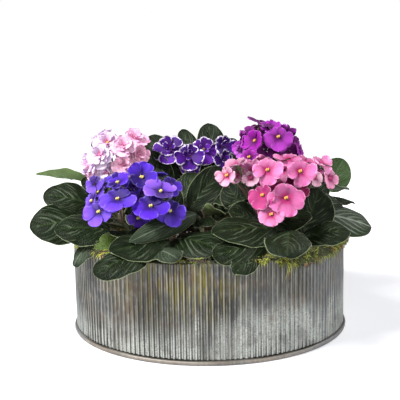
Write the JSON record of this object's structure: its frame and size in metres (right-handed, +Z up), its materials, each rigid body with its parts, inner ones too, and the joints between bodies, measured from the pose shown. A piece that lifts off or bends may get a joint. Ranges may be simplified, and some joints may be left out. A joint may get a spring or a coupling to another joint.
{
  "type": "potted african violets",
  "caption": "Low round ribbed metal planter of flowering African violets with velvety leaves, moss round the edge and flower clusters in several colours.",
  "frame": {"origin": "centre of the pot's underside, on the surface that it stands on", "axes": "+Z up, -Y toward the side that the picture shows, +X to the right seen from there"},
  "size_m": [0.404, 0.3551, 0.2391],
  "materials": {
    "wall_steel": "satin",
    "hoop_steel": "satin",
    "growing_mix": "matte",
    "moss": "matte",
    "leaf": "matte",
    "blue_petal": "matte",
    "pink_petal": "matte",
    "pale_petal": "matte",
    "magenta_petal": "matte",
    "edged_petal": "matte"
  },
  "bodies": {
    "root": {"pot_wall": "wall_steel", "pot_base": "hoop_steel", "soil": "growing_mix", "moss_mat": "moss", "moss_clump": "moss", "blue_plant": "leaf", "blue_bloom_1": "blue_petal", "blue_bloom_2": "blue_petal", "blue_bloom_3": "blue_petal", "blue_bloom_4": "blue_petal", "blue_bloom_5": "blue_petal", "blue_bloom_6": "blue_petal", "blue_bloom_7": "blue_petal", "blue_bloom_8": "blue_petal", "blue_bloom_9": "blue_petal", "blue_bloom_10": "blue_petal", "blue_bloom_11": "blue_petal", "pink_plant": "leaf", "pink_bloom_1": "pink_petal", "pink_bloom_2": "pink_petal", "pink_bloom_3": "pink_petal", "pink_bloom_4": "pink_petal", "pink_bloom_5": "pink_petal", "pink_bloom_6": "pink_petal", "pink_bloom_7": "pink_petal", "pink_bloom_8": "pink_petal", "pink_bloom_9": "pink_petal", "pink_bloom_10": "pink_petal", "pink_bloom_11": "pink_petal", "pink_bloom_12": "pink_petal", "pale_plant": "leaf", "pale_bloom_1": "pale_petal", "pale_bloom_2": "pale_petal", "pale_bloom_3": "pale_petal", "pale_bloom_4": "pale_petal", "pale_bloom_5": "pale_petal", "pale_bloom_6": "pale_petal", "pale_bloom_7": "pale_petal", "pale_bloom_8": "pale_petal", "pale_bloom_9": "pale_petal", "magenta_plant": "leaf", "magenta_bloom_1": "magenta_petal", "magenta_bloom_2": "magenta_petal", "magenta_bloom_3": "magenta_petal", "magenta_bloom_4": "magenta_petal", "magenta_bloom_5": "magenta_petal", "magenta_bloom_6": "magenta_petal", "magenta_bloom_7": "magenta_petal", "edged_plant": "leaf", "edged_bloom_1": "edged_petal", "edged_bloom_2": "edged_petal", "edged_bloom_3": "edged_petal", "edged_bloom_4": "edged_petal", "edged_bloom_5": "edged_petal"}
  },
  "joints": []
}
